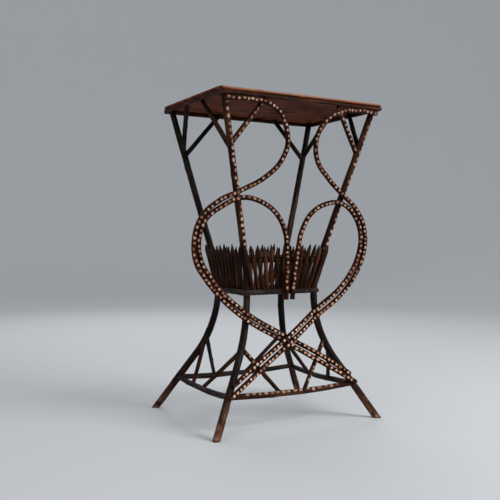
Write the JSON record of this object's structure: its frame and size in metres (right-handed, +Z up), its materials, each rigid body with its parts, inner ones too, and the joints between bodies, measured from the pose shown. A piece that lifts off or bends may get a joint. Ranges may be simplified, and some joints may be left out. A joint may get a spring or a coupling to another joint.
{
  "type": "twig table",
  "caption": "Rustic side table: a thin board on bent sapling legs, with a picket basket at the waist, twig stretchers and braces, and notched rods bent into loops on the front",
  "frame": {"origin": "middle of the outline box in X and Y, on the floor at Z = 0", "axes": "+Z up, +X to the right along the board's long side, the decorated front faces -Y"},
  "size_m": [0.4819, 0.3763, 0.74],
  "materials": {
    "board_wood": "thin stained board with a worn pale edge and water marks",
    "floor_wood": "rough sawn board, dark with age",
    "leg_bark": "dark brown sapling bark, waxed, worn reddish on the knots",
    "rim_bark": "thin dark red-brown twig bark",
    "rod_bark": "dark twig bark with a row of pale chip-carved notches",
    "grey_bark": "weathered greyish brown bark",
    "split_twig": "twigs split in half, bark outside and raw pale wood inside",
    "nail_iron": "dull rusted wire nails"
  },
  "bodies": {
    "root": {"base_brace_back_left": "leg_bark", "base_brace_back_right": "leg_bark", "base_brace_front_left": "leg_bark", "base_brace_front_right": "leg_bark", "base_brace_left_back": "leg_bark", "base_brace_left_front": "leg_bark", "base_brace_nails": "nail_iron", "base_brace_right_back": "leg_bark", "base_brace_right_front": "leg_bark", "basket_base_rail_back": "grey_bark", "basket_base_rail_front": "grey_bark", "basket_base_rail_left": "grey_bark", "basket_base_rail_right": "grey_bark", "basket_floor": "floor_wood", "basket_top_rail_back": "leg_bark", "basket_top_rail_front": "leg_bark", "basket_top_rail_left": "leg_bark", "basket_top_rail_right": "leg_bark", "board_nails": "nail_iron", "hook_rod_left": "rod_bark", "hook_rod_right": "rod_bark", "leg_back_left": "leg_bark", "leg_back_right": "leg_bark", "leg_front_left": "leg_bark", "leg_front_right": "leg_bark", "picket_brads": "nail_iron", "pickets_back": "split_twig", "pickets_front": "split_twig", "pickets_left": "split_twig", "pickets_right": "split_twig", "rail_nails": "nail_iron", "rim_back": "rim_bark", "rim_front": "rim_bark", "rim_left": "rim_bark", "rim_right": "rim_bark", "rod_nails": "nail_iron", "scroll_rod_left": "rod_bark", "scroll_rod_right": "rod_bark", "stretcher_back": "grey_bark", "stretcher_front": "grey_bark", "stretcher_left": "grey_bark", "stretcher_nails": "nail_iron", "stretcher_right": "grey_bark", "top_board": "board_wood", "top_brace_back_left": "leg_bark", "top_brace_back_right": "leg_bark", "top_brace_front_left": "leg_bark", "top_brace_front_right": "leg_bark", "top_brace_left_back": "leg_bark", "top_brace_left_front": "leg_bark", "top_brace_nails": "nail_iron", "top_brace_right_back": "leg_bark", "top_brace_right_front": "leg_bark"}
  },
  "joints": []
}
